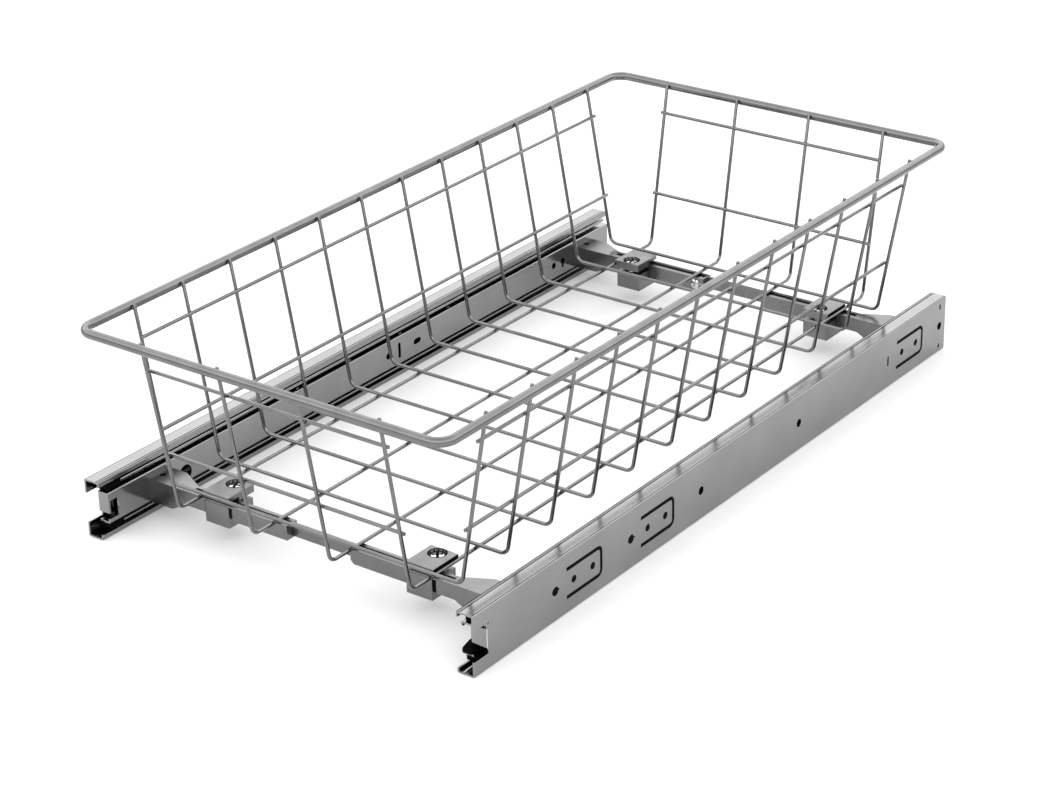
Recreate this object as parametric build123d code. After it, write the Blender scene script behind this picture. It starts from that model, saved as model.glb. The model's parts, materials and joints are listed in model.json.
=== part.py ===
from build123d import *
import math
import os

# A wire basket that pulls out of a cabinet on two full-extension ball slides.
# Sizes are in millimetres. X runs across the cabinet, -Y is the front and Z is up.
# The origin is on the surface that the slides stand on, under the basket's middle.

# Slide channels: outer one on the cabinet, middle one between, inner one on the basket
overall_width = 249.0
slide_length = 450.0
slide_height = 33.0
slide_front = -228.7
outer_sheet = 1.0
outer_depth = 10.0
outer_lip = 2.8
outer_bend = 0.9
middle_sheet = 0.9
middle_height = 24.6
middle_lip = 1.6
middle_web_gap = 0.2
middle_lip_gap = 0.5
middle_setback = 16.5
inner_sheet = 1.0
inner_height = 17.3
inner_flange = 6.9
inner_proud = 1.0
inner_setback = 5.0
inner_rear_setback = 0.5
middle_rear_setback = 2.0
race_gap = 0.05
flange_groove_inset = 1.1
flange_groove_radius = 0.9
flange_groove_rise = 0.6

# How many flat sides stand for a round wire, a ball and a small pin or hole
wire_sides = 8
rim_sides = 12
bend_steps = 2
rim_corner_steps = 4
ball_sides = 8
pin_sides = 12
dome_shoulder = 0.7
dome_flat = 0.35

# Balls and the strips that space them
outer_ball_radius = 1.75
inner_ball_radius = 1.5875
balls_in_row = 4
outer_race_depth = 5.3
inner_race_depth = 6.4
outer_cage_length = 210.0
inner_cage_length = 180.0
cage_sheet = 0.8
cage_pocket_gap = 0.15
cage_wall_gap = 0.8
cage_edge = 0.25
cage_web = 0.6

# Cut-outs in the web of the outer channel, as distances from its front end
pin_hole_pitch = 32.0
screw_hole_radius = 2.3
pear_hole_radius = 2.1
pear_hole_point = 4.4
small_hole_radius = 1.3
tongue_slit_width = 1.5
tongue_slit_corner = 3.0
tongue_length = 29.0
tongue_height = 15.3
tongue_ends = (102.8, 166.2, 422.6)
tongue_hole_inset = 7.2
tongue_hole_pitch = 15.8
front_notch_length = 10.2
front_notch_bottom = 8.3
front_notch_top = 25.0
front_tab_bottom = 11.3
front_notch_overrun = 1.1
front_tab_tip_bottom = 19.3
tab_relief = ((5.5, 24.7), (9.5, 24.7), (9.8, 21.9))
tab_relief_hole = (11.3, 24.3)
tab_relief_hole_radius = 0.5
rear_hole_distance = 443.3
rear_slot_height = 28.3
rear_low_hole_height = 4.1
web_slot_length = 6.0
rear_slot_length = 3.4
rear_slot_width = 1.6

# Cut-outs in the web of the inner channel, as distances from its front end
inner_window_start = 1.2
inner_window_length = 6.0
inner_window_bottom = 10.5
inner_window_top = 20.6
inner_stop_bottom = 13.7
inner_mouth_top = 22.6
inner_big_hole_distance = 64.6
inner_big_hole_radius = 4.6
inner_round_hole_distances = (226.8, 387.5)
inner_round_hole_radius = 2.0
inner_tall_slot_distance = 236.9
inner_tall_slot_length = 9.4
inner_long_slot_distance = 253.1
inner_long_slot_length = 6.5
inner_long_slot_width = 3.2
inner_key_hole_distance = 396.8
inner_key_drop = 2.6
inner_key_length = 3.0
inner_slot_width = 2.2

# Plastic catch in the mouth of the right-hand inner channel
catch_length = 10.0
catch_proud = 1.0
catch_width = 5.5
catch_height = 10.4
catch_low_side = 3.5
catch_shoulder = 1.2
catch_gap = 0.05

# Cross bars: an arm from each slide, joined by a flat strip
bar_top = 22.45
bar_height = 8.25
bar_width = 8.1
front_bar_face = -195.0
bar_pitch = 379.9
bar_front_wall = 1.8
bar_rear_wall = 2.0
bar_floor = 0.8
bracket_sheet = 1.2
channel_end = 84.0
flare_start = 85.0
flare_full = 100.0
flare_depth = 15.8
skirt_start = 87.0
skirt_full = 97.0
skirt_drop = 5.2
bracket_hole_inset = 4.5
bracket_hole_radius = 1.8
bracket_hole_step = 0.8
left_arm_end = 18.5
right_arm_end = 22.5
right_arm_chamfer = 2.0
arm_flap_width = 2.5
strip_thickness = 1.5
strip_length = 112.0
strip_clearance = 0.05
lock_screw_inset = 2.6
lock_screw_head_radius = 3.0
lock_screw_head = 1.7
lock_screw_rim = 0.6
lock_screw_shank_radius = 1.5
rivet_radius = 1.9
rivet_head_radius = 3.0
rivet_head = 0.9
rivet_head_crown = 2.1
rivet_tail = 0.6
rivet_tail_radius = 2.5
rivet_tail_crown = 2.2
rivet_drop = 1.5
rivet_spacing = 8.0

# Clamps that hold the basket down on the cross bars
clamp_centre = 65.5
clamp_width = 16.0
clamp_length = 20.1
clamp_top = 26.5
clamp_edge_thickness = 2.6
clamp_boss_thickness = 4.5
clamp_boss_gap = 0.4
clamp_edge_chamfer = 0.35
clamp_foot_inset = 1.5
clamp_lip = 1.0
clamp_screw_inset = 5.1
clamp_counterbore_radius = 4.5
clamp_counterbore_depth = 2.2
clamp_screw_gap = 0.25
block_bottom = 9.1
block_wall = 1.6
block_wall_top = 21.2
block_upstand_top = 19.3
block_window_gap = 2.5
block_clearance = 0.15
block_bar_gap = 0.3
block_end_inset = 1.2
screw_head_radius = 3.4
screw_head_height = 2.0
screw_head_rim = 0.7
screw_radius = 2.0
screw_clearance = 0.05
screw_end_above_block = 1.5

# Basket wires
rim_wire_radius = 2.5
wire_radius = 1.0
weld_bite = 0.004
rim_half_width = 113.84
rim_half_length = 233.1
rim_corner = 9.0
rim_height = 119.6
wire_tip_above_rim = 1.7
floor_half_width = 93.3
floor_half_length = 212.5
wire_bend = 5.0
cross_wires = 12
cross_wire_pitch = 35.72
long_wires = 4
long_wire_pitch = 49.71
wall_wire_heights = (55.8, 104.8)
front_buffer_length = 10.0
front_buffer_gap = 0.3
front_buffer_tongue = 6.0

# Places that follow from the sizes above
outer_face = overall_width / 2
slide_middle = slide_height / 2
inner_face_depth = outer_depth + inner_proud
inner_face = outer_face - inner_face_depth
middle_depth = outer_depth - middle_lip_gap - middle_web_gap - outer_sheet
middle_outer = outer_sheet + middle_web_gap
outer_gap_top = slide_height / 2 - outer_sheet
outer_race_height = (outer_gap_top + middle_height / 2) / 2
inner_gap_top = middle_height / 2 - middle_sheet
inner_race_height = (inner_gap_top + inner_height / 2) / 2
bar_bottom = bar_top - bar_height
strip_front = bar_width - bar_rear_wall - 0.1 - strip_thickness
long_wire_height = bar_top + race_gap + wire_radius
cross_wire_height = long_wire_height + 2 * wire_radius - weld_bite
weld_reach = rim_wire_radius + wire_radius - weld_bite
wire_contact = 2 * wire_radius - weld_bite


def turned(outline, sides):
    # A pin, head or ball with flat sides, from its outline of (radius, height), going up.
    body = Part()
    for (low_radius, low), (high_radius, high) in zip(outline, outline[1:]):
        if high > low:
            ends = [Pos(0, 0, low) * RegularPolygon(low_radius, sides)]
            ends.append(Pos(0, 0, high) * RegularPolygon(high_radius, sides))
            body += loft(ends, ruled=True)
    return body


def headed_pin(radius, reach, head_radius, rim, top):
    # A shank that goes down from the seat of a low domed head.
    shoulder = (head_radius * dome_shoulder, rim + (top - rim) * dome_shoulder)
    outline = [(radius, -reach), (radius, 0), (head_radius, 0), (head_radius, rim)]
    return turned([*outline, shoulder, (head_radius * dome_flat, top)], pin_sides)


def pin_hole(radius, length):
    # A hole that a pin from above goes through, half of its length each way.
    return extrude(RegularPolygon(radius, pin_sides), amount=length / 2, both=True)


def box_between(low, high):
    size = [b - a for a, b in zip(low, high)]
    centre = [(a + b) / 2 for a, b in zip(low, high)]
    return Pos(*centre) * Box(*size)


def right_section_plane(y):
    # Local x is the depth in from the outer face, local y the height above mid-slide.
    return Plane(origin=(outer_face, y, slide_middle), x_dir=(-1, 0, 0), z_dir=(0, 1, 0))


def web_plane(front, depth):
    # Local x is the distance from the front end, local y the height above mid-slide.
    return Plane(origin=(outer_face - depth, front, slide_middle), x_dir=(0, 1, 0), z_dir=(1, 0, 0))


def lipped_channel(start, depth, half, sheet, lip, bend):
    near = start + sheet
    far = start + depth
    upper = [(far, half - lip), (far, half), (start, half)]
    lower = [(x, -y) for x, y in reversed(upper)]
    inner_lower = [(far - sheet, -half + lip), (far - sheet, -half + sheet), (near, -half + sheet)]
    inner_upper = [(x, -y) for x, y in reversed(inner_lower)]
    face = make_face(Polyline(*lower, *inner_lower, *inner_upper, *upper, close=True))
    corners = [v for v in face.vertices() if abs(abs(v.Y) - half) < 0.01]
    return fillet(corners, bend)


def race(depth, height, radius):
    pair = Sketch() + Pos(depth, height) * Circle(radius + race_gap)
    return pair + Pos(depth, -height) * Circle(radius + race_gap)


def pear_hole(distance):
    tip = distance + pear_hole_point
    side = pear_hole_radius * 0.75
    point = make_face(Polyline((distance, -side), (tip, 0), (distance, side), close=True))
    return Pos(distance, 0) * Circle(pear_hole_radius) + point


def tongue_slit(end):
    start = end - tongue_length
    half = tongue_height / 2
    points = [(start, half), (end, half), (end, -half), (start, -half)]
    return trace(FilletPolyline(*points, radius=tongue_slit_corner), tongue_slit_width)


def tongue_holes(end):
    first = end - tongue_hole_inset
    near = Pos(first, 0) * RegularPolygon(small_hole_radius, pin_sides)
    return near + Pos(first - tongue_hole_pitch, 0) * RegularPolygon(small_hole_radius, pin_sides)


def front_notch(has_tab):
    low = front_notch_bottom - slide_middle
    high = front_notch_top - slide_middle
    if not has_tab:
        points = [(0, low), (front_notch_length, low), (front_notch_length, high), (0, high)]
        return make_face(Polyline(*points, close=True))
    heel = front_tab_bottom - slide_middle
    tip = front_tab_tip_bottom - slide_middle
    rear = front_notch_length + front_notch_overrun
    slot = make_face(Polyline((0, low), (rear, low), (front_notch_length, heel), (0, tip), close=True))
    relief = [(distance, height - slide_middle) for distance, height in tab_relief]
    distance, height = tab_relief_hole
    hole = Pos(distance, height - slide_middle) * RegularPolygon(tab_relief_hole_radius, wire_sides)
    return slot + make_face(Polyline(*relief, close=True)) + hole


def outer_cutouts(has_tab):
    cuts = front_notch(has_tab)
    for step in (2, 4):
        cuts += pear_hole(step * pin_hole_pitch)
    for step in (6, 9):
        cuts += Pos(step * pin_hole_pitch, 0) * Circle(screw_hole_radius)
    cuts += Pos(12 * pin_hole_pitch, 0) * SlotOverall(web_slot_length, tongue_slit_width, rotation=90)
    for end in tongue_ends:
        cuts += tongue_slit(end)
        cuts += tongue_holes(end)
    top_slot = rear_slot_height - slide_middle
    cuts += Pos(rear_hole_distance, top_slot) * SlotOverall(rear_slot_length, rear_slot_width, rotation=90)
    cuts += Pos(rear_hole_distance, 0) * Circle(screw_hole_radius)
    low_hole = Pos(rear_hole_distance, rear_low_hole_height - slide_middle)
    cuts += low_hole * RegularPolygon(small_hole_radius, pin_sides)
    return cuts


def outer_member(has_tab):
    half = slide_height / 2
    section = lipped_channel(0, outer_depth, half, outer_sheet, outer_lip, outer_bend)
    section -= race(outer_race_depth, outer_race_height, outer_ball_radius)
    for side in (-1, 1):
        groove = Pos(outer_depth - flange_groove_inset, side * (half + flange_groove_rise))
        section -= groove * Circle(flange_groove_radius)
    body = extrude(right_section_plane(slide_front) * section, slide_length)
    cuts = web_plane(slide_front, 0) * outer_cutouts(has_tab)
    return body - extrude(cuts, outer_sheet + race_gap, both=True)


def middle_member():
    section = lipped_channel(
        middle_outer, middle_depth, middle_height / 2, middle_sheet, middle_lip, outer_bend
    )
    section -= race(outer_race_depth, outer_race_height, outer_ball_radius)
    section -= race(inner_race_depth, inner_race_height, inner_ball_radius)
    front = slide_front + middle_setback
    length = slide_length - middle_setback - middle_rear_setback
    return extrude(right_section_plane(front) * section, length)


def web_opening(start, end, bottom, top):
    # A rectangle in the web, from distances along the channel and heights above the floor.
    place = Pos((start + end) / 2, (bottom + top) / 2 - slide_middle)
    return place * Rectangle(end - start, top - bottom)


def inner_cutouts(has_stop):
    end = inner_window_start + inner_window_length
    if has_stop:
        cuts = web_opening(inner_window_start, end, inner_window_bottom, inner_window_top)
        cuts += web_opening(0, inner_window_start, inner_window_bottom, inner_stop_bottom)
    else:
        cuts = web_opening(0, end, inner_window_bottom, inner_mouth_top)
    cuts += Pos(inner_big_hole_distance, 0) * Circle(inner_big_hole_radius)
    for distance in inner_round_hole_distances:
        cuts += Pos(distance, 0) * RegularPolygon(inner_round_hole_radius, pin_sides)
    tall_slot = SlotOverall(inner_tall_slot_length, inner_slot_width, rotation=90)
    cuts += Pos(inner_tall_slot_distance, 0) * tall_slot
    cuts += Pos(inner_long_slot_distance, 0) * SlotOverall(inner_long_slot_length, inner_long_slot_width)
    cuts += Pos(inner_key_hole_distance, 0) * RegularPolygon(inner_round_hole_radius, pin_sides)
    cuts += Pos(inner_key_hole_distance, -inner_key_drop) * Rectangle(inner_slot_width, inner_key_length)
    return cuts


def inner_member(has_stop):
    half = inner_height / 2
    edge = inner_face_depth - inner_flange
    web = inner_face_depth - inner_sheet
    upper = [(web, half - inner_sheet), (edge, half - inner_sheet), (edge, half), (inner_face_depth, half)]
    lower = [(x, -y) for x, y in reversed(upper)]
    section = make_face(Polyline(*upper, *lower, close=True))
    section = fillet(section.vertices().group_by(Axis.X)[-1], outer_bend)
    section -= race(inner_race_depth, inner_race_height, inner_ball_radius)
    front = slide_front + inner_setback
    rear = slide_front + slide_length - inner_rear_setback
    body = extrude(right_section_plane(front) * section, rear - front)
    body -= extrude(web_plane(front, web) * inner_cutouts(has_stop), inner_sheet + race_gap, both=True)
    for hole in rivet_places():
        body -= Pos(inner_face, *hole) * Rot(0, 90, 0) * pin_hole(rivet_radius, 4 * inner_sheet)
    if has_stop:
        top = slide_middle + half - inner_sheet
        low = (inner_face, front, inner_stop_bottom)
        body += box_between(low, (outer_face - edge, front + inner_sheet, top))
    return body


def front_catch():
    # Stands on the lower flange, against the web, with its top sloping down to the web.
    x = inner_face + inner_sheet + catch_gap
    z = slide_middle - inner_height / 2 + inner_sheet + catch_gap
    end = x + catch_width
    top = z + catch_height
    points = [(x, z), (end, z), (end, top), (end - catch_shoulder, top), (x, z + catch_low_side)]
    front = slide_front + inner_setback - catch_proud
    plane = Plane(origin=(0, front, 0), x_dir=(1, 0, 0), z_dir=(0, -1, 0))
    return extrude(plane * make_face(Polyline(*points, close=True)), -catch_length)


def ball_places(length, depth, height):
    # Centres of one slide's balls: a top row and a bottom row, evenly spaced.
    pitch = length / balls_in_row
    middle = slide_front + slide_length / 2
    x = outer_face - depth
    rows = (slide_middle + height, slide_middle - height)
    steps = [(i - (balls_in_row - 1) / 2) * pitch for i in range(balls_in_row)]
    return [(x, middle + step, z) for z in rows for step in steps]


def outer_ball_places():
    return ball_places(outer_cage_length, outer_race_depth, outer_race_height)


def inner_ball_places():
    return ball_places(inner_cage_length, inner_race_depth, inner_race_height)


def balls(places, radius):
    near, far = (radius * share for share in (math.sin(math.pi / 8), math.cos(math.pi / 8)))
    ball = turned([(near, -far), (far, -near), (far, near), (near, far)], ball_sides)
    return [Pos(*place) * ball for place in places]


def with_pockets(cage, places, radius):
    for place in places:
        cage -= Pos(*place) * pin_hole(radius + cage_pocket_gap, 4 * cage_sheet)
    return cage


def outer_ball_cage():
    strips = []
    half = outer_ball_radius + cage_pocket_gap + cage_wall_gap
    y = slide_front + (slide_length - outer_cage_length) / 2
    for side in (1, -1):
        centre = slide_middle + side * outer_race_height
        low = (outer_face - outer_race_depth - half, y, centre - cage_sheet / 2)
        high = (outer_face - outer_race_depth + half, y + outer_cage_length, centre + cage_sheet / 2)
        places = [p for p in outer_ball_places() if abs(p[2] - centre) < cage_sheet]
        strips.append(with_pockets(box_between(low, high), places, outer_ball_radius))
    return strips


def inner_ball_cage():
    half = inner_race_height + cage_sheet / 2
    reach = inner_ball_radius + cage_pocket_gap
    start = middle_outer + middle_sheet + cage_wall_gap
    end = inner_race_depth + reach + cage_edge
    upper = [(end, half - cage_sheet), (end, half), (start, half)]
    lower = [(x, -y) for x, y in reversed(upper)]
    web = start + cage_web
    inside = [(web, -half + cage_sheet), (web, half - cage_sheet)]
    section = make_face(Polyline(*upper, *lower, *inside, close=True))
    y = slide_front + (slide_length - inner_cage_length) / 2
    cage = extrude(right_section_plane(y) * section, inner_cage_length)
    return with_pockets(cage, inner_ball_places(), inner_ball_radius)


def front_buffer():
    # A block above and below the inner channel, each with a tongue into the middle one.
    blocks = []
    rear = slide_front + middle_setback - race_gap
    inside = inner_height / 2 + front_buffer_gap
    outside = middle_height / 2 + race_gap
    under = inner_gap_top - race_gap
    near = outer_face - middle_outer
    far = near - middle_depth
    for side in (1, -1):
        z0, z1, z2 = (slide_middle + side * h for h in (inside, outside, under))
        block = box_between((far, rear - front_buffer_length, min(z0, z1)), (near, rear, max(z0, z1)))
        tongue_far = far + middle_sheet + race_gap
        tongue_near = near - middle_sheet - race_gap
        low = (tongue_far, rear, min(z0, z2))
        high = (tongue_near, rear + front_buffer_tongue, max(z0, z2))
        blocks.append(block + box_between(low, high))
    return blocks


def arm_plan_outline(face):
    rear = face + bar_width
    flare = face + flare_depth
    points = [(channel_end, face), (inner_face, face), (inner_face, flare), (flare_full, flare)]
    return points + [(flare_start, rear), (channel_end, rear)]


def right_arm(face, end, chamfer):
    # The arm of the right-hand slide; the left one is its mirror image.
    rear = face + bar_width
    channel = box_between((end, face, bar_bottom), (flare_start, rear, bar_top))
    inside_low = (end - 1, face + bar_front_wall, bar_bottom + bar_floor)
    channel -= box_between(inside_low, (channel_end, rear - bar_rear_wall, bar_top + 1))
    flap_rear = face + bar_front_wall + arm_flap_width
    channel += box_between((end, face, bar_bottom), (end + bracket_sheet, flap_rear, bar_top))
    if chamfer:
        corner = [(end, bar_bottom), (end + chamfer, bar_bottom), (end, bar_bottom + chamfer)]
        cut = make_face(Polyline(*corner, close=True))
        channel -= extrude(Plane(origin=(0, rear, 0), x_dir=(1, 0, 0), z_dir=(0, -1, 0)) * cut, bar_width)
    plan = make_face(Polyline(*arm_plan_outline(face), close=True))
    plate = extrude(Pos(0, 0, bar_top) * plan, -bracket_sheet)
    low = bar_bottom - skirt_drop
    skirt_points = [(channel_end, bar_top), (channel_end, bar_bottom), (skirt_start, bar_bottom)]
    skirt_points += [(skirt_full, low), (inner_face, low), (inner_face, bar_top)]
    skirt_plane = Plane(origin=(0, face, 0), x_dir=(1, 0, 0), z_dir=(0, -1, 0))
    skirt = extrude(skirt_plane * make_face(Polyline(*skirt_points, close=True)), -bracket_sheet)
    tab = box_between((inner_face - bracket_sheet, face, low), (inner_face, face + flare_depth, bar_top))
    hole_place = (inner_face - bracket_hole_inset, rear - bracket_hole_step, bar_top)
    hole = Pos(*hole_place) * pin_hole(bracket_hole_radius, 4 * bracket_sheet)
    arm = channel + plate + skirt + tab - hole
    for y, z in rivet_places():
        if face < y < face + flare_depth:
            arm -= Pos(inner_face, y, z) * Rot(0, 90, 0) * pin_hole(rivet_radius, 4 * bracket_sheet)
    return arm


def clamp_window(face, centre, wall):
    # The block's wall fills this opening but for a gap on its right.
    start = centre - clamp_width / 2 - block_clearance
    end = centre + clamp_width / 2 + block_window_gap
    top = block_wall_top + block_clearance
    return box_between((start, face - 1, bar_bottom - 1), (end, face + wall, top))


def bar_faces():
    return {"front": front_bar_face, "rear": front_bar_face + bar_pitch}


def rivet_places():
    # Rivets through each bracket and the inner channel's web, as (y, z).
    places = []
    for face in bar_faces().values():
        middle = face + (bracket_sheet + flare_depth) / 2
        places += [(middle + side * rivet_spacing / 2, slide_middle - rivet_drop) for side in (-1, 1)]
    return places


def bar_arm(bar, side):
    face = bar_faces()[bar]
    end, chamfer = (right_arm_end, right_arm_chamfer) if side == "right" else (left_arm_end, 0)
    arm = right_arm(face, end, chamfer)
    if side == "left":
        arm = mirror(arm, Plane.YZ)
    centre = clamp_centre if side == "right" else -clamp_centre
    wall = bar_front_wall if bar == "front" else bar_rear_wall
    window = clamp_window(face, centre, wall)
    if bar == "rear":
        window = Pos(0, 2 * face + bar_width, 0) * mirror(window, Plane.XZ)
    arm -= window
    if side == "left":
        arm -= lock_screw_hole(bar)
    return arm


def lock_screw_axis(bar):
    # Where the screw meets the arm's wall, and which way it points to reach the strip.
    face = bar_faces()[bar]
    wall_face = face if bar == "rear" else face + bar_width
    inward = 1 if bar == "rear" else -1
    place = (-left_arm_end - lock_screw_inset - lock_screw_head_radius, wall_face, bar_top - bar_height / 2)
    return place, inward


def lock_screw_hole(bar):
    (x, y, z), inward = lock_screw_axis(bar)
    wall = bar_front_wall if bar == "rear" else bar_rear_wall
    radius = lock_screw_shank_radius + screw_clearance
    return Pos(x, y + inward * wall / 2, z) * Rot(90, 0, 0) * pin_hole(radius, 2 * wall)


def lock_screw(bar):
    (x, y, z), inward = lock_screw_axis(bar)
    strip_faces = [bar_faces()[bar] + strip_front, bar_faces()[bar] + strip_front + strip_thickness]
    reach = abs((strip_faces[0] if bar == "rear" else strip_faces[1]) - y) - screw_clearance
    shank, head = lock_screw_shank_radius, lock_screw_head_radius
    pin = headed_pin(shank, reach, head, lock_screw_rim, lock_screw_head)
    return Pos(x, y, z) * Rot(90 * inward, 0, 0) * pin


def centre_strip(bar):
    front = bar_faces()[bar] + strip_front
    low = (-strip_length / 2, front, bar_bottom + bar_floor + strip_clearance)
    return box_between(low, (strip_length / 2, front + strip_thickness, bar_top - strip_clearance))


def bracket_rivets(side):
    # A factory head on the bracket and a flatter one inside the inner channel.
    rivets = []
    grip = bracket_sheet + inner_sheet
    shank = rivet_radius - screw_clearance
    outline = [(rivet_head_crown, -rivet_head), (rivet_head_radius, 0), (shank, 0), (shank, grip)]
    outline += [(rivet_tail_radius, grip), (rivet_tail_crown, grip + rivet_tail)]
    for y, z in rivet_places():
        rivet = Pos(inner_face - bracket_sheet, y, z) * Rot(0, 90, 0) * turned(outline, pin_sides)
        rivets.append(rivet if side == "right" else mirror(rivet, Plane.YZ))
    return rivets


def front_right_clamp(make):
    # Built at the front right, then turned half round for the rear and mirrored for the left.
    return {
        ("front", "right"): make(),
        ("front", "left"): mirror(make(), Plane.YZ),
        ("rear", "right"): turn_to_rear(mirror(make(), Plane.YZ)),
        ("rear", "left"): turn_to_rear(make()),
    }


def turn_to_rear(piece):
    # The rear bar's faces are where a half turn about Z leaves the front bar's, but for this.
    shift = (front_bar_face + bar_pitch + bar_width) + front_bar_face
    return Pos(0, shift, 0) * Rot(0, 0, 180) * piece


def clamp_screw_y():
    return front_bar_face + clamp_length - clamp_screw_inset


def clamp_plate():
    x0 = clamp_centre - clamp_width / 2
    x1 = clamp_centre + clamp_width / 2
    y0 = front_bar_face
    y1 = y0 + clamp_length
    boss_front = y0 + bar_width + clamp_boss_gap
    edge_bottom = clamp_top - clamp_edge_thickness
    plate = box_between((x0, y0, edge_bottom), (x1, y1, clamp_top))
    plate += box_between((x0, boss_front, clamp_top - clamp_boss_thickness), (x1, y1, clamp_top))
    foot_low = (x0 + clamp_foot_inset, y0 + clamp_foot_inset, bar_top + screw_clearance)
    plate += box_between(foot_low, (x1 - clamp_foot_inset, boss_front, edge_bottom))
    lip_bottom = long_wire_height + wire_radius + screw_clearance
    plate += box_between((x1, y0, lip_bottom), (x1 + clamp_lip, y1, clamp_top))
    top_edges = plate.faces().sort_by(Axis.Z)[-1].edges()
    plate = chamfer(top_edges, clamp_edge_chamfer)
    place = (clamp_centre, clamp_screw_y(), clamp_top)
    plate -= Pos(*place) * pin_hole(clamp_counterbore_radius, 2 * clamp_counterbore_depth)
    return plate - Pos(*place) * pin_hole(screw_radius + clamp_screw_gap, 4 * clamp_boss_thickness)


def clamp_block():
    # A hook round the bar: front wall, base under the bar and an upstand that takes the screw.
    face = front_bar_face
    back = face + bar_width + block_bar_gap
    end = face + clamp_length - block_end_inset
    base_top = bar_bottom - block_clearance
    points = [(face, block_bottom), (end, block_bottom), (end, block_upstand_top)]
    points += [(back, block_upstand_top), (back, base_top), (face + block_wall, base_top)]
    points += [(face + block_wall, block_wall_top), (face, block_wall_top)]
    start = clamp_centre - clamp_width / 2
    section_plane = Plane(origin=(start, 0, 0), x_dir=(0, 1, 0), z_dir=(1, 0, 0))
    block = extrude(section_plane * make_face(Polyline(*points, close=True)), clamp_width)
    place = (clamp_centre, clamp_screw_y(), block_upstand_top)
    return block - Pos(*place) * pin_hole(screw_radius + screw_clearance, 4 * block_upstand_top)


def clamp_screw():
    seat = clamp_top - clamp_counterbore_depth + screw_clearance
    reach = seat - block_bottom - screw_end_above_block
    pin = headed_pin(screw_radius, reach, screw_head_radius, screw_head_rim, screw_head_height)
    return Pos(clamp_centre, clamp_screw_y(), seat) * pin


def bent_path(points):
    # Straight runs with a bend at each corner, each bend in short straight steps.
    path = [points[0]]
    for before, corner, after in zip(points, points[1:], points[2:]):
        middle = Vector(*corner)
        back = (Vector(*before) - middle).normalized()
        on = (Vector(*after) - middle).normalized()
        cut = wire_bend / math.tan(math.radians(back.get_angle(on)) / 2)
        arc = TangentArc(middle + back * cut, middle + on * cut, tangent=-back)
        path += [arc @ (step / bend_steps) for step in range(bend_steps + 1)]
    return Polyline(*path, points[-1])


def wire_along(path, flat_faces):
    # A wire with flat sides, one of which faces along flat_faces.
    outline = RegularPolygon(wire_radius, wire_sides, major_radius=False, rotation=180 / wire_sides)
    start = Plane(path @ 0, x_dir=flat_faces, z_dir=path % 0)
    return sweep(start * outline, path=path, transition=Transition.RIGHT)


def leg_lean(floor_half, floor_height, rim_half):
    # A straight leg from the floor's corner that just bites into the inside of the rim.
    out = rim_half - floor_half
    up = rim_height - floor_height
    return math.atan2(out, up) - math.asin(weld_reach / math.hypot(out, up))


def leg_offset(floor_half, floor_height, rim_half, height):
    lean = leg_lean(floor_half, floor_height, rim_half)
    return floor_half + (height - floor_height) * math.tan(lean)


def tip_height():
    return rim_height + wire_tip_above_rim


def cross_wire(y):
    tip = leg_offset(floor_half_width, cross_wire_height, rim_half_width, tip_height())
    right = [(floor_half_width, y, cross_wire_height), (tip, y, tip_height())]
    left = [(-x, yy, z) for x, yy, z in reversed(right)]
    return wire_along(bent_path([*left, *right]), (0, 1, 0))


def long_wire(x):
    tip = leg_offset(floor_half_length, long_wire_height, rim_half_length, tip_height())
    rear = [(x, floor_half_length, long_wire_height), (x, tip, tip_height())]
    front = [(xx, -y, z) for xx, y, z in reversed(rear)]
    return wire_along(bent_path([*front, *rear]), (1, 0, 0))


def wall_wire_offset(floor_half, floor_height, rim_half, height):
    lean = leg_lean(floor_half, floor_height, rim_half)
    return leg_offset(floor_half, floor_height, rim_half, height) - wire_contact / math.cos(lean)


def side_wall_wires(side):
    half = (cross_wires - 1) / 2 * cross_wire_pitch + wire_radius
    lean = leg_lean(floor_half_width, cross_wire_height, rim_half_width)
    wires = []
    for height in wall_wire_heights:
        x = side * wall_wire_offset(floor_half_width, cross_wire_height, rim_half_width, height)
        across = (math.cos(lean), 0, -side * math.sin(lean))
        wires.append(wire_along(Line((x, -half, height), (x, half, height)), across))
    return wires


def end_wall_wires(side):
    half = (long_wires - 1) / 2 * long_wire_pitch + wire_radius
    lean = leg_lean(floor_half_length, long_wire_height, rim_half_length)
    wires = []
    for height in wall_wire_heights:
        y = side * wall_wire_offset(floor_half_length, long_wire_height, rim_half_length, height)
        across = (0, math.cos(lean), -side * math.sin(lean))
        wires.append(wire_along(Line((-half, y, height), (half, y, height)), across))
    return wires


def rim_wire():
    # Its section is turned so that one flat side meets the legs of the cross wires.
    points = [(0, -rim_half_length, rim_height)]
    x, y = rim_half_width - rim_corner, rim_half_length - rim_corner
    for quarter, (cx, cy) in enumerate(((x, -y), (x, y), (-x, y), (-x, -y))):
        arc = Pos(cx, cy, rim_height) * CenterArc((0, 0), rim_corner, 90 * (quarter - 1), 90)
        points += [arc @ (step / rim_corner_steps) for step in range(rim_corner_steps + 1)]
    path = Polyline(*points, close=True)
    turn = math.degrees(leg_lean(floor_half_width, cross_wire_height, rim_half_width)) + 180 / rim_sides
    outline = RegularPolygon(rim_wire_radius, rim_sides, major_radius=False, rotation=turn)
    start = Plane(path @ 0, x_dir=(0, 0, 1), z_dir=path % 0)
    return sweep(start * outline, path=path, transition=Transition.RIGHT)


def mirrored(pieces):
    if isinstance(pieces, list):
        return [mirror(piece, Plane.YZ) for piece in pieces]
    return mirror(pieces, Plane.YZ)


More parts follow.
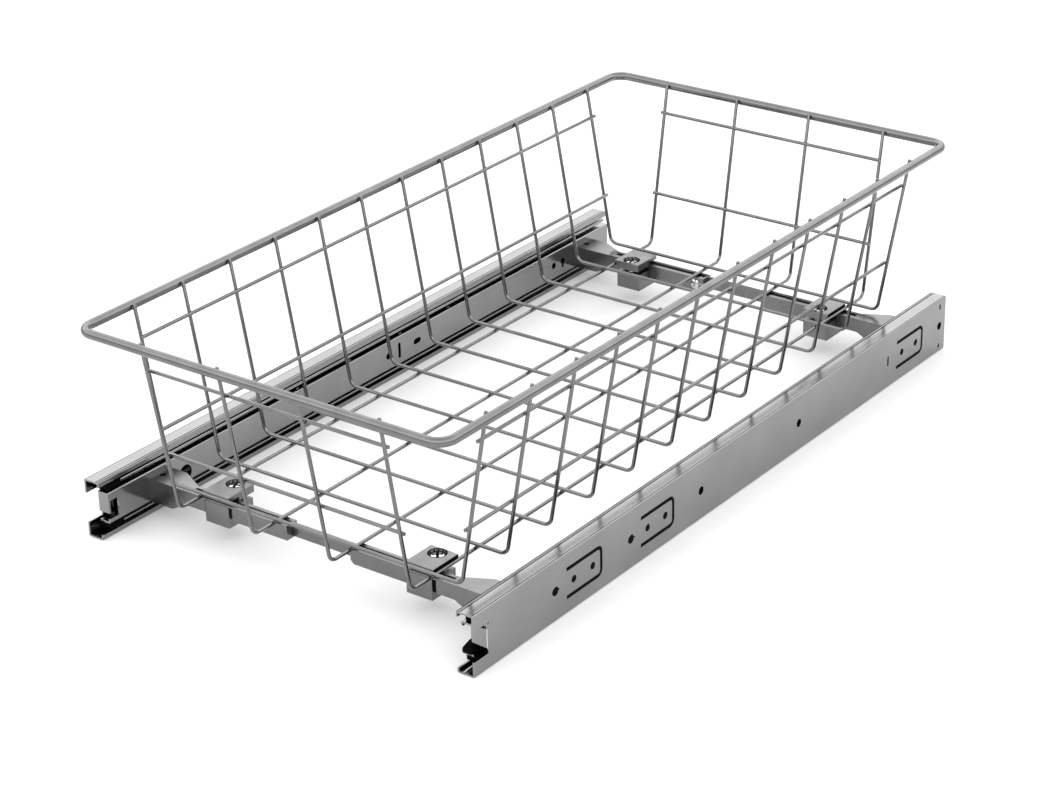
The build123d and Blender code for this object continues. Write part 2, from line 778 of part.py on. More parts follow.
def slide_parts():
    right = {
        "middle_member": middle_member(),
        "outer_ball_cage": outer_ball_cage(),
        "outer_balls": balls(outer_ball_places(), outer_ball_radius),
        "inner_ball_cage": inner_ball_cage(),
        "inner_balls": balls(inner_ball_places(), inner_ball_radius),
        "front_buffers": front_buffer(),
    }
    parts = {name + "_right": piece for name, piece in right.items()}
    parts |= {name + "_left": mirrored(piece) for name, piece in right.items()}
    parts["inner_member_right"] = inner_member(has_stop=False)
    parts["inner_member_left"] = mirrored(inner_member(has_stop=True))
    parts["front_catch_right"] = front_catch()
    parts["outer_member_right"] = outer_member(has_tab=True)
    parts["outer_member_left"] = mirrored(outer_member(has_tab=False))
    return parts


def bar_parts():
    parts = {}
    for bar in ("front", "rear"):
        for side in ("left", "right"):
            parts[f"{bar}_bar_arm_{side}"] = bar_arm(bar, side)
        parts[f"{bar}_bar_strip"] = centre_strip(bar)
        parts[f"{bar}_bar_lock_screw"] = lock_screw(bar)
    for side in ("left", "right"):
        parts[f"bracket_rivets_{side}"] = bracket_rivets(side)
    return parts


def clamp_parts():
    parts = {}
    for name, make in (("plate", clamp_plate), ("block", clamp_block), ("screw", clamp_screw)):
        for (bar, side), piece in front_right_clamp(make).items():
            parts[f"clamp_{name}_{bar}_{side}"] = piece
    return parts


def basket_parts():
    parts = {"rim_wire": rim_wire()}
    for i in range(cross_wires):
        y = (i - (cross_wires - 1) / 2) * cross_wire_pitch
        parts[f"cross_wire_{i + 1}"] = cross_wire(y)
    for i in range(long_wires):
        x = (i - (long_wires - 1) / 2) * long_wire_pitch
        parts[f"long_wire_{i + 1}"] = long_wire(x)
    parts["side_wall_wires_left"] = side_wall_wires(-1)
    parts["side_wall_wires_right"] = side_wall_wires(1)
    parts["end_wall_wires_front"] = end_wall_wires(-1)
    parts["end_wall_wires_rear"] = end_wall_wires(1)
    return parts


def write_parts(parts):
    os.makedirs("parts", exist_ok=True)
    for name, piece in sorted(parts.items()):
        solids = piece if isinstance(piece, list) else [piece]
        shape = Compound(children=[s.solid() for s in solids]) if len(solids) > 1 else solids[0].solid()
        export_step(shape, f"parts/{name}.step")


write_parts(slide_parts() | bar_parts() | clamp_parts() | basket_parts())
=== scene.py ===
import json
import math

import bmesh
import bpy
from mathutils import Matrix, Vector


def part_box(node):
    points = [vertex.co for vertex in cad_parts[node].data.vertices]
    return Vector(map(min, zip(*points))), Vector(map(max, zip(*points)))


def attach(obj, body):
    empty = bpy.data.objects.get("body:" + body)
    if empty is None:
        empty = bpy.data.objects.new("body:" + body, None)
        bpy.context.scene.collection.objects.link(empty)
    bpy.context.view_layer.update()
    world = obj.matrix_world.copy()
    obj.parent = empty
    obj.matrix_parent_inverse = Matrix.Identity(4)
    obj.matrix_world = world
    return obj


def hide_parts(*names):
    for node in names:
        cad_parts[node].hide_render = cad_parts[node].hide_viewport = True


# A pull-out wire basket on two ball slides. Lengths in the dictionaries are millimetres.
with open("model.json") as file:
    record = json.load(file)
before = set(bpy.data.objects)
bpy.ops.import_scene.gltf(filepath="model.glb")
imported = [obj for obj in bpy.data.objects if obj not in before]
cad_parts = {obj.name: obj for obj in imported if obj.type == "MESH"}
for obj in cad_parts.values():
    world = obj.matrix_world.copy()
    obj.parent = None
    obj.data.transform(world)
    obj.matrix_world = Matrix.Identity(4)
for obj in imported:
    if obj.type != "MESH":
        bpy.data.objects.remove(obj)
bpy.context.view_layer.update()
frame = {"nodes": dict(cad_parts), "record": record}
nodes = frame["nodes"]
mm = 0.001
print("frame loaded:", len(nodes), "nodes")


# ---- camera, matched to the photograph

cameraSetup = {
    "place": (810.931, -1099.243, 668.495),
    "target": (-0.574, -23.645, 29.490),
    "roll": -0.0220158,
    "lens": 95.995,
    "sensor": 36.0,
    "clipStart": 0.01,
}


def placeCamera():
    data = bpy.data.cameras.new("photoCamera")
    data.sensor_fit = "HORIZONTAL"
    data.sensor_width = cameraSetup["sensor"]
    data.lens = cameraSetup["lens"]
    data.clip_start = cameraSetup["clipStart"]
    camera = bpy.data.objects.new("photoCamera", data)
    bpy.context.scene.collection.objects.link(camera)
    place = Vector(cameraSetup["place"]) * mm
    forward = (Vector(cameraSetup["target"]) * mm - place).normalized()
    look = forward.to_track_quat("-Z", "Y").to_matrix().to_4x4()
    roll = Matrix.Rotation(cameraSetup["roll"], 4, "Z")
    camera.matrix_world = Matrix.Translation(place) @ look @ roll
    bpy.context.scene.camera = camera


placeCamera()
bpy.context.scene.view_settings.view_transform = "Standard"
print("camera placed")


# ---- shared surface effects, as node groups

def addNode(tree, kind, inputs=(), **settings):
    node = tree.nodes.new(kind)
    for name, value in settings.items():
        setattr(node, name, value)
    for name, value in dict(inputs).items():
        if isinstance(value, bpy.types.NodeSocket):
            tree.links.new(value, node.inputs[name])
        else:
            node.inputs[name].default_value = value
    return node


def newGroup(name, inputs, outputs):
    group = bpy.data.node_groups.new(name, "ShaderNodeTree")
    for label, value in inputs.items():
        kind = "NodeSocketVector" if label == "Vector" else "NodeSocketFloat"
        socket = group.interface.new_socket(label, in_out="INPUT", socket_type=kind)
        if value is not None:
            socket.default_value = value
    for label in outputs:
        group.interface.new_socket(label, in_out="OUTPUT", socket_type="NodeSocketFloat")
    return group, group.nodes.new("NodeGroupInput").outputs, group.nodes.new("NodeGroupOutput")


def makeRollingLines():
    # Faint lines that the rolling mill leaves along the sheet, which runs along Y.
    group, given, result = newGroup(
        "rollingLines", {"Vector": None, "Scale": 900.0, "Stretch": 0.02}, ["Lines"]
    )
    combine = addNode(group, "ShaderNodeCombineXYZ", {"X": 1.0, "Y": given["Stretch"], "Z": 1.0})
    squeezed = addNode(group, "ShaderNodeVectorMath", {0: given["Vector"], 1: combine.outputs[0]},
                       operation="MULTIPLY")
    noise = addNode(group, "ShaderNodeTexNoise",
                    {"Vector": squeezed.outputs[0], "Scale": given["Scale"], "Detail": 3.0})
    group.links.new(noise.outputs["Fac"], result.inputs["Lines"])
    return group


def makeHandlingMarks():
    # Soft cloudy patches where the plating is duller, with a few finer rubbed spots.
    group, given, result = newGroup(
        "handlingMarks", {"Vector": None, "Patch": 35.0, "Speck": 420.0}, ["Patches", "Specks"]
    )
    cloud = addNode(group, "ShaderNodeTexNoise",
                    {"Vector": given["Vector"], "Scale": given["Patch"], "Detail": 4.0,
                     "Roughness": 0.6})
    speck = addNode(group, "ShaderNodeTexNoise",
                    {"Vector": given["Vector"], "Scale": given["Speck"], "Detail": 2.0})
    for label, noise, low, high in (("Patches", cloud, 0.38, 0.66), ("Specks", speck, 0.58, 0.74)):
        spread = addNode(group, "ShaderNodeMapRange",
                         {"Value": noise.outputs["Fac"], "From Min": low, "From Max": high})
        group.links.new(spread.outputs["Result"], result.inputs[label])
    return group


def makeFineGrain():
    # The grain of a coated or plated skin, for a bump.
    group, given, result = newGroup(
        "fineGrain", {"Vector": None, "Scale": 2500.0, "Detail": 2.0}, ["Height"]
    )
    noise = addNode(group, "ShaderNodeTexNoise",
                    {"Vector": given["Vector"], "Scale": given["Scale"], "Detail": given["Detail"]})
    group.links.new(noise.outputs["Fac"], result.inputs["Height"])
    return group


rollingLines = makeRollingLines()
handlingMarks = makeHandlingMarks()
fineGrain = makeFineGrain()


# ---- materials

finishes = {
    "slide_steel": {"dark": 0.235, "light": 0.285, "tint": (1.0, 1.0, 1.01), "metallic": 1.0,
                    "rough": 0.17, "dull": 0.08, "lines": 0.45, "patch": 30.0, "grain": 2200.0,
                    "grainDepth": 0.006, "specular": 0.5},
    "basket_wire": {"dark": 0.155, "light": 0.195, "tint": (1.0, 0.995, 0.99), "metallic": 1.0,
                    "rough": 0.17, "dull": 0.10, "lines": 0.2, "patch": 60.0, "grain": 3000.0,
                    "grainDepth": 0.004, "specular": 0.5},
    "bar_steel": {"dark": 0.160, "light": 0.190, "tint": (1.0, 1.0, 1.0), "metallic": 1.0,
                  "rough": 0.30, "dull": 0.10, "lines": 0.15, "patch": 45.0, "grain": 1900.0,
                  "grainDepth": 0.012, "specular": 0.5},
    "clamp_metal": {"dark": 0.160, "light": 0.195, "tint": (1.0, 1.0, 1.0), "metallic": 1.0,
                    "rough": 0.34, "dull": 0.10, "lines": 0.0, "patch": 90.0, "grain": 1500.0,
                    "grainDepth": 0.018, "specular": 0.5},
    "screw_steel": {"dark": 0.55, "light": 0.72, "tint": (1.0, 1.0, 1.0), "metallic": 1.0,
                    "rough": 0.12, "dull": 0.12, "lines": 0.0, "patch": 200.0, "grain": 3000.0,
                    "grainDepth": 0.004, "specular": 0.5},
    "ball_steel": {"dark": 0.58, "light": 0.66, "tint": (1.0, 1.0, 1.0), "metallic": 1.0,
                   "rough": 0.08, "dull": 0.06, "lines": 0.0, "patch": 300.0, "grain": 3000.0,
                   "grainDepth": 0.002, "specular": 0.5},
    "black_plastic": {"dark": 0.001, "light": 0.002, "tint": (1.0, 1.0, 1.0), "metallic": 0.0,
                      "rough": 0.50, "dull": 0.12, "lines": 0.0, "patch": 120.0, "grain": 1400.0,
                      "grainDepth": 0.03, "specular": 0.02},
}
bumpStrength = 0.5
# The share of a finish's dulling that its light patches take back.
patchPolish = 0.5


def makeFinish(name, finish):
    material = bpy.data.materials.new(name)
    material.use_nodes = True
    tree = material.node_tree
    shader = tree.nodes["Principled BSDF"]
    place = addNode(tree, "ShaderNodeTexCoord").outputs["Object"]
    marks = addNode(tree, "ShaderNodeGroup", node_tree=handlingMarks)
    marks.inputs["Patch"].default_value = finish["patch"]
    tree.links.new(place, marks.inputs["Vector"])
    lines = addNode(tree, "ShaderNodeGroup", node_tree=rollingLines)
    tree.links.new(place, lines.inputs["Vector"])
    # Tone: patches and rolling lines move it between the dark and the light value.
    weighted = addNode(tree, "ShaderNodeMath", {0: lines.outputs["Lines"], 1: finish["lines"]},
                       operation="MULTIPLY")
    blended = addNode(tree, "ShaderNodeMath",
                      {0: marks.outputs["Patches"], 1: 1.0 - finish["lines"],
                       2: weighted.outputs[0]},
                      operation="MULTIPLY_ADD")
    ramp = addNode(tree, "ShaderNodeValToRGB", {"Fac": blended.outputs[0]})
    for stop, key in zip(ramp.color_ramp.elements, ("dark", "light")):
        stop.color = [finish[key] * tint for tint in finish["tint"]] + [1.0]
    tree.links.new(ramp.outputs["Color"], shader.inputs["Base Color"])
    rough = addNode(tree, "ShaderNodeMapRange",
                    {"Value": marks.outputs["Specks"], "To Min": finish["rough"],
                     "To Max": finish["rough"] + finish["dull"]})
    uneven = addNode(tree, "ShaderNodeMath",
                     {0: marks.outputs["Patches"], 1: -patchPolish * finish["dull"],
                      2: rough.outputs["Result"]},
                     operation="MULTIPLY_ADD")
    tree.links.new(uneven.outputs[0], shader.inputs["Roughness"])
    shader.inputs["Metallic"].default_value = finish["metallic"]
    shader.inputs["Specular IOR Level"].default_value = finish["specular"]
    grain = addNode(tree, "ShaderNodeGroup", node_tree=fineGrain)
    grain.inputs["Scale"].default_value = finish["grain"]
    tree.links.new(place, grain.inputs["Vector"])
    bump = addNode(tree, "ShaderNodeBump",
                   {"Strength": bumpStrength, "Distance": finish["grainDepth"] * mm,
                    "Height": grain.outputs["Height"]})
    tree.links.new(bump.outputs["Normal"], shader.inputs["Normal"])
    return material


materials = {name: makeFinish(name, finish) for name, finish in finishes.items()}
slotOf = {row["node"]: row["material_slot"] for row in frame["record"]["subparts"]}
for nodeName, node in nodes.items():
    node.data.materials.clear()
    node.data.materials.append(materials[slotOf[nodeName]])
print("finishes made:", len(materials))


# ---- shared ways of making pieces

bodyOf = {}
for bodyName, members in frame["record"]["behaviour"]["bodies"].items():
    for member in members:
        bodyOf[member] = bodyName

sideSigns = {"left": -1, "right": 1}
# Edges that turn less than this many degrees are shaded smooth.
smoothing = {
    "pressed": 32.0, "wire": 50.0, "rim": 60.0, "round": 180.0, "trim": 40.0, "screw": 30.0,
}
meshing = {"merge": 0.001, "flat": 0.5, "sharp": 35.0, "bevelSegments": 2, "faceWeight": 90}


def finishPiece(name, bm, body, slot, smooth="pressed"):
    mesh = bpy.data.meshes.new(name)
    bm.to_mesh(mesh)
    bm.free()
    mesh.materials.append(materials[slot])
    mesh.shade_smooth()
    mesh.set_sharp_from_angle(angle=math.radians(smoothing[smooth]))
    piece = bpy.data.objects.new(name, mesh)
    bpy.context.scene.collection.objects.link(piece)
    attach(piece, body)
    return piece


reshaped = {
    "webHole": (-159.1, 16.5, 5.0), "webHoleMove": (0.0, -7.5, -3.2), "catchHeight": 0.8,
}


def fitShape(nodeName, bm):
    # Small moves that set the inner web's large hole and the catch's height to the photograph.
    if nodeName.startswith("inner_member"):
        y, z, reach = reshaped["webHole"]
        ring = [v for v in bm.verts if math.hypot(v.co.y / mm - y, v.co.z / mm - z) < reach]
        bmesh.ops.translate(bm, vec=Vector(reshaped["webHoleMove"]) * mm, verts=ring)
    if nodeName.startswith("front_catch"):
        foot = min(v.co.z for v in bm.verts)
        squash = Matrix.Diagonal((1, 1, reshaped["catchHeight"], 1))
        lift = Matrix.Translation((0, 0, foot))
        drop = Matrix.Translation((0, 0, -foot))
        bmesh.ops.transform(bm, matrix=lift @ squash @ drop, verts=bm.verts)


def solidMesh(nodeName):
    bm = bmesh.new()
    bm.from_mesh(nodes[nodeName].data)
    bmesh.ops.remove_doubles(bm, verts=bm.verts, dist=meshing["merge"] * mm)
    return bm


def edgedCopy(nodeName, width):
    # A copy of a solid with its sharp edges broken, as pressing, casting and tumbling leave them.
    bm = solidMesh(nodeName)
    bmesh.ops.dissolve_limit(bm, angle_limit=math.radians(meshing["flat"]), verts=bm.verts,
                             edges=bm.edges)
    fitShape(nodeName, bm)
    sharp = [e for e in bm.edges if len(e.link_faces) == 2
             and e.calc_face_angle(0.0) > math.radians(meshing["sharp"])]
    bmesh.ops.bevel(bm, geom=sharp, offset=width * mm, offset_type="OFFSET", affect="EDGES",
                    segments=meshing["bevelSegments"], profile=0.5, material=-1, clamp_overlap=True)
    piece = finishPiece(nodeName + "_edged", bm, bodyOf[nodeName], slotOf[nodeName])
    weighted = piece.modifiers.new("flatFaces", "WEIGHTED_NORMAL")
    weighted.keep_sharp = True
    weighted.weight = meshing["faceWeight"]
    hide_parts(nodeName)


def inOrder(items):
    # Each item once, in the order in which it first comes.
    return list(dict.fromkeys(items))


def startWire(bm, place, heading, radius, sides):
    ring = bmesh.ops.create_circle(bm, cap_ends=False, segments=sides, radius=radius * mm)
    turn = heading.to_track_quat("Z", "Y").to_matrix().to_4x4()
    bmesh.ops.transform(bm, matrix=Matrix.Translation(place * mm) @ turn, verts=ring["verts"])
    return inOrder(edge for vert in ring["verts"] for edge in vert.link_edges)


def runWire(bm, ring, step):
    made = bmesh.ops.extrude_edge_only(bm, edges=ring)["geom"]
    verts = [item for item in made if isinstance(item, bmesh.types.BMVert)]
    bmesh.ops.translate(bm, vec=step * mm, verts=verts)
    moved = set(verts)
    return [e for e in made if isinstance(e, bmesh.types.BMEdge) and set(e.verts) <= moved]


def bendWire(bm, ring, centre, axis, angle, steps):
    verts = inOrder(vert for edge in ring for vert in edge.verts)
    made = bmesh.ops.spin(bm, geom=verts + ring, cent=centre * mm, axis=axis, angle=angle,
                          steps=steps, use_merge=False)["geom_last"]
    return [item for item in made if isinstance(item, bmesh.types.BMEdge)]


def wireThrough(bm, corners, radius, bend, sides, bendSteps, closed=False):
    # A round wire that runs straight between its corners and is bent at each of them.
    if closed:
        place = (corners[0] + corners[-1]) / 2
        around = corners + [place]
    else:
        place = corners[0]
        around = corners[1:]
    heading = (around[0] - place).normalized()
    ring = startWire(bm, place, heading, radius, sides)
    for i, corner in enumerate(around):
        onward = (around[i + 1] - corner).normalized() if i + 1 < len(around) else heading
        angle = heading.angle(onward)
        cut = bend * math.tan(angle / 2)
        bendStart = corner - heading * cut
        ring = runWire(bm, ring, bendStart - place)
        place = bendStart
        if angle > 0.001:
            axis = heading.cross(onward).normalized()
            centre = bendStart + axis.cross(heading) * bend
            ring = bendWire(bm, ring, centre, axis, angle, bendSteps)
            place = corner + onward * cut
        heading = onward
    if closed:
        bmesh.ops.remove_doubles(bm, verts=bm.verts, dist=0.01 * mm)


def capWires(bm, chamfer):
    # Closes every open end and breaks its edge, as a sheared and tumbled wire's is.
    ends = [edge for edge in bm.edges if len(edge.link_faces) == 1]
    caps = bmesh.ops.holes_fill(bm, edges=ends, sides=0)["faces"]
    rims = inOrder(edge for cap in caps for edge in cap.edges)
    bmesh.ops.recalc_face_normals(bm, faces=bm.faces)
    bmesh.ops.bevel(bm, geom=rims, offset=chamfer * mm, offset_type="OFFSET", affect="EDGES",
                    segments=meshing["bevelSegments"], profile=0.5, material=-1)


def addNugget(bm, place, size, subdivisions=1):
    made = bmesh.ops.create_icosphere(bm, subdivisions=subdivisions, radius=mm)
    scale = Matrix.Diagonal((*size, 1.0))
    bmesh.ops.transform(bm, matrix=Matrix.Translation(place * mm) @ scale, verts=made["verts"])


# ---- basket

basket = {
    "wire": 1.0, "bite": 0.004, "sides": 20, "bend": 5.0, "bendSteps": 8, "endChamfer": 0.2,
    "crossCount": 12, "crossPitch": 35.72, "crossHalf": 93.3,
    "longCount": 4, "longPitch": 49.71, "longHeight": 23.5, "longHalf": 212.5,
    "rimHeight": 119.6, "rimHalfWidth": 113.84, "rimHalfLength": 233.1, "rimCorner": 9.0,
    "rimWire": 2.5, "rimSides": 32, "rimBendSteps": 12, "tipAboveRim": 1.7,
    "wallHeights": (55.8, 104.8),
}
basket["crossHeight"] = basket["longHeight"] + 2 * basket["wire"] - basket["bite"]


def legLean(floorHalf, floorHeight, rimHalf):
    out = rimHalf - floorHalf
    up = basket["rimHeight"] - floorHeight
    reach = basket["rimWire"] + basket["wire"] - basket["bite"]
    return math.atan2(out, up) - math.asin(reach / math.hypot(out, up))


def legOffset(floorHalf, floorHeight, rimHalf, height):
    return floorHalf + (height - floorHeight) * math.tan(legLean(floorHalf, floorHeight, rimHalf))


crossSpan = (basket["crossHalf"], basket["crossHeight"], basket["rimHalfWidth"])
longSpan = (basket["longHalf"], basket["longHeight"], basket["rimHalfLength"])
tipHeight = basket["rimHeight"] + basket["tipAboveRim"]
crossPlaces = [(i - (basket["crossCount"] - 1) / 2) * basket["crossPitch"]
               for i in range(basket["crossCount"])]
longPlaces = [(i - (basket["longCount"] - 1) / 2) * basket["longPitch"]
              for i in range(basket["longCount"])]


def wallOffset(span, height):
    contact = 2 * basket["wire"] - basket["bite"]
    return legOffset(*span, height) - contact / math.cos(legLean(*span))


def makeBentWire(name, points):
    bm = bmesh.new()
    wireThrough(bm, [Vector(p) for p in points], basket["wire"], basket["bend"], basket["sides"],
                basket["bendSteps"])
    capWires(bm, basket["endChamfer"])
    piece = finishPiece(name + "_bent", bm, "basket", "basket_wire", "wire")
    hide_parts(name)


def makeFloorWires():
    tip = legOffset(*crossSpan, tipHeight)
    for i, y in enumerate(crossPlaces):
        half, z = crossSpan[:2]
        makeBentWire(f"cross_wire_{i + 1}",
                     [(-tip, y, tipHeight), (-half, y, z), (half, y, z), (tip, y, tipHeight)])
    tip = legOffset(*longSpan, tipHeight)
    for i, x in enumerate(longPlaces):
        half, z = longSpan[:2]
        makeBentWire(f"long_wire_{i + 1}",
                     [(x, -tip, tipHeight), (x, -half, z), (x, half, z), (x, tip, tipHeight)])


def makeWallWires():
    sideHalf = crossPlaces[-1] + basket["wire"]
    endHalf = longPlaces[-1] + basket["wire"]
    for name, sign in (("left", -1), ("right", 1), ("front", -1), ("rear", 1)):
        onSide = name in ("left", "right")
        bm = bmesh.new()
        for z in basket["wallHeights"]:
            if onSide:
                x = sign * wallOffset(crossSpan, z)
                line = [(x, -sideHalf, z), (x, sideHalf, z)]
            else:
                y = sign * wallOffset(longSpan, z)
                line = [(-endHalf, y, z), (endHalf, y, z)]
            wireThrough(bm, [Vector(p) for p in line], basket["wire"], basket["bend"],
                        basket["sides"], basket["bendSteps"])
        capWires(bm, basket["endChamfer"])
        node = ("side" if onSide else "end") + "_wall_wires_" + name
        piece = finishPiece(node + "_straight", bm, "basket", "basket_wire", "wire")
        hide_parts(node)


def makeRim():
    x, y, z = basket["rimHalfWidth"], basket["rimHalfLength"], basket["rimHeight"]
    corners = [Vector(p) for p in ((x, -y, z), (x, y, z), (-x, y, z), (-x, -y, z))]
    bm = bmesh.new()
    wireThrough(bm, corners, basket["rimWire"], basket["rimCorner"], basket["rimSides"],
                basket["rimBendSteps"], closed=True)
    bmesh.ops.recalc_face_normals(bm, faces=bm.faces)
    piece = finishPiece("rim_wire_round", bm, "basket", "basket_wire", "rim")
    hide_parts("rim_wire")


welds = {
    "crossing": (0.95, 0.95, 0.62), "rimNugget": (1.0, 1.0, 1.5),
    "buttOver": 0.07, "buttHalfLength": 3.52, "buttPlace": -47.0, "buttSegments": (32, 12),
}


def makeWelds():
    bm = bmesh.new()
    middle = (basket["crossHeight"] + basket["longHeight"]) / 2
    for y in crossPlaces:
        for x in longPlaces:
            addNugget(bm, Vector((x, y, middle)), welds["crossing"])
    size = welds["crossing"]
    for sign in (-1, 1):
        for z in basket["wallHeights"]:
            offset = (wallOffset(crossSpan, z) + legOffset(*crossSpan, z)) / 2
            for y in crossPlaces:
                addNugget(bm, Vector((sign * offset, y, z)), (size[2], size[1], size[0]))
            offset = (wallOffset(longSpan, z) + legOffset(*longSpan, z)) / 2
            for x in longPlaces:
                addNugget(bm, Vector((x, sign * offset, z)), (size[0], size[2], size[1]))
    nugget = welds["rimNugget"]
    z = basket["rimHeight"]
    for sign in (-1, 1):
        inside = (basket["rimHalfWidth"] - basket["rimWire"] + legOffset(*crossSpan, z)
                  + basket["wire"]) / 2
        for y in crossPlaces:
            addNugget(bm, Vector((sign * inside, y, z)), nugget)
        inside = (basket["rimHalfLength"] - basket["rimWire"] + legOffset(*longSpan, z)
                  + basket["wire"]) / 2
        for x in longPlaces:
            addNugget(bm, Vector((x, sign * inside, z)), nugget)
    bmesh.ops.recalc_face_normals(bm, faces=bm.faces)
    finishPiece("spot_welds", bm, "basket", "basket_wire", "round")


def makeButtWeld():
    # The bead where the two ends of the rim's wire are joined, in the front run.
    bm = bmesh.new()
    around, along = welds["buttSegments"]
    made = bmesh.ops.create_uvsphere(bm, u_segments=around, v_segments=along, radius=1.0)
    over = (basket["rimWire"] + welds["buttOver"]) * mm
    scale = Matrix.Diagonal((welds["buttHalfLength"] * mm, over, over, 1.0))
    turn = Matrix.Rotation(math.pi / 2, 4, "Y")
    place = Vector((welds["buttPlace"], -basket["rimHalfLength"], basket["rimHeight"])) * mm
    bmesh.ops.transform(bm, matrix=Matrix.Translation(place) @ scale @ turn, verts=made["verts"])
    finishPiece("rim_butt_weld", bm, "basket", "basket_wire", "round")


makeFloorWires()
makeWallWires()
makeRim()
makeWelds()
makeButtWeld()
print("basket wires and welds made")


# ---- channels, bars and clamps

edges = {
    "outer_member": 0.14, "middle_member": 0.12, "inner_member": 0.12, "front_bar_arm": 0.18,
    "rear_bar_arm": 0.18, "front_bar_strip": 0.15, "rear_bar_strip": 0.15, "clamp_plate": 0.16,
    "clamp_block": 0.25, "front_buffers": 0.2, "outer_ball_cage": 0.1, "inner_ball_cage": 0.1,
    "bracket_rivets": 0.12, "front_catch": 0.3,
}


def makeEdgedPieces():
    for nodeName in sorted(nodes):
        for start, width in edges.items():
            if nodeName.startswith(start):
                edgedCopy(nodeName, width)


makeEdgedPieces()
print("channels, bars, clamps and cages edged")


# ---- balls

ballRadii = {"inner": 1.5875, "outer": 1.75}
ballSubdivisions = 3


def makeBalls():
    for side in ("left", "right"):
        for row, radius in ballRadii.items():
            nodeName = f"{row}_balls_{side}"
            source = solidMesh(nodeName)
            bm = bmesh.new()
            for island in islandsOf(source):
                low = Vector([min(v.co[i] for v in island) for i in range(3)])
                high = Vector([max(v.co[i] for v in island) for i in range(3)])
                made = bmesh.ops.create_icosphere(bm, subdivisions=ballSubdivisions,
                                                  radius=radius * mm)
                bmesh.ops.translate(bm, vec=(low + high) / 2, verts=made["verts"])
            source.free()
            piece = finishPiece(nodeName + "_polished", bm, bodyOf[nodeName], slotOf[nodeName],
                                "round")
            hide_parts(nodeName)


def islandsOf(bm):
    left = dict.fromkeys(bm.verts)
    while left:
        island = []
        waiting = [left.popitem()[0]]
        while waiting:
            vert = waiting.pop()
            island.append(vert)
            for edge in vert.link_edges:
                other = edge.other_vert(vert)
                if other in left:
                    del left[other]
                    waiting.append(other)
        yield island


makeBalls()
print("balls made")


# ---- screws

screw = {
    "clampHead": (4.0, 0.8, 1.7), "clampRise": -0.4, "clampShank": 2.0, "clampLength": 13.75,
    "lockHead": (3.0, 0.6, 1.7), "lockShank": 1.5, "lockLength": 6.45, "lockTurn": 12,
    "threadPitch": 0.7, "threadDepth": 0.38, "headSteps": 8, "sides": 32,
    "recessArm": 0.62, "recessWidth": 0.19, "recessDepth": 0.465, "cutterOver": 0.6,
    "recessFoot": (0.55, 0.6), "recessMouth": (1.25, 1.1),
}


def turnedScrew(head, shank, length):
    # Half an outline, from the tip up the thread and over the domed head, turned about Z.
    radius, rim, top = head
    bm = bmesh.new()
    outline = [(0.0, -length), (shank - screw["threadDepth"], -length)]
    z = -length + screw["threadPitch"] / 2
    while z < -screw["threadPitch"]:
        outline += [(shank, z), (shank - screw["threadDepth"], z + screw["threadPitch"] / 2)]
        z += screw["threadPitch"]
    outline += [(shank - screw["threadDepth"], 0.0), (radius, 0.0), (radius, rim)]
    rise = top - rim
    ball = (radius * radius + rise * rise) / (2 * rise)
    for i in range(1, screw["headSteps"]):
        r = radius * (1 - i / screw["headSteps"])
        outline.append((r, top - ball + math.sqrt(ball * ball - r * r)))
    outline.append((0.0, top))
    verts = [bm.verts.new((r * mm, 0.0, z * mm)) for r, z in outline]
    lines = [bm.edges.new(pair) for pair in zip(verts, verts[1:])]
    bmesh.ops.spin(bm, geom=verts + lines, cent=(0, 0, 0), axis=(0, 0, 1), angle=2 * math.pi,
                   steps=screw["sides"], use_merge=True)
    bmesh.ops.remove_doubles(bm, verts=bm.verts, dist=meshing["merge"] * mm)
    bmesh.ops.recalc_face_normals(bm, faces=bm.faces)
    mesh = bpy.data.meshes.new("turnedScrew")
    bm.to_mesh(mesh)
    bm.free()
    return mesh


def crossCutter(head):
    # Two crossed wedges, narrower at their foot.
    radius, _, top = head
    bm = bmesh.new()
    for angle in (0.0, math.pi / 2):
        made = bmesh.ops.create_cube(bm, size=1.0)
        for vert in made["verts"]:
            foot = vert.co.z < 0
            long, wide = screw["recessFoot"] if foot else screw["recessMouth"]
            height = top - screw["recessDepth"] * radius if foot else top + screw["cutterOver"]
            vert.co.x *= 2 * radius * screw["recessArm"] * long * mm
            vert.co.y *= 2 * radius * screw["recessWidth"] * wide * mm
            vert.co.z = height * mm
        bmesh.ops.rotate(bm, verts=made["verts"], cent=(0, 0, 0),
                         matrix=Matrix.Rotation(angle, 3, "Z"))
    mesh = bpy.data.meshes.new("crossCutter")
    bm.to_mesh(mesh)
    bm.free()
    return mesh


def recessedScrew(head, shank, length):
    body = bpy.data.objects.new("screwBody", turnedScrew(head, shank, length))
    cutter = bpy.data.objects.new("screwCutter", crossCutter(head))
    for item in (body, cutter):
        bpy.context.scene.collection.objects.link(item)
    cut = body.modifiers.new("recess", "BOOLEAN")
    cut.operation = "DIFFERENCE"
    cut.object = cutter
    cut.solver = "EXACT"
    cut.use_self = True
    graph = bpy.context.evaluated_depsgraph_get()
    mesh = bpy.data.meshes.new_from_object(body.evaluated_get(graph))
    for item in (body, cutter):
        bpy.data.objects.remove(item)
    return mesh


clampTurns = {"front_left": 20, "front_right": 38, "rear_left": 4, "rear_right": 63}


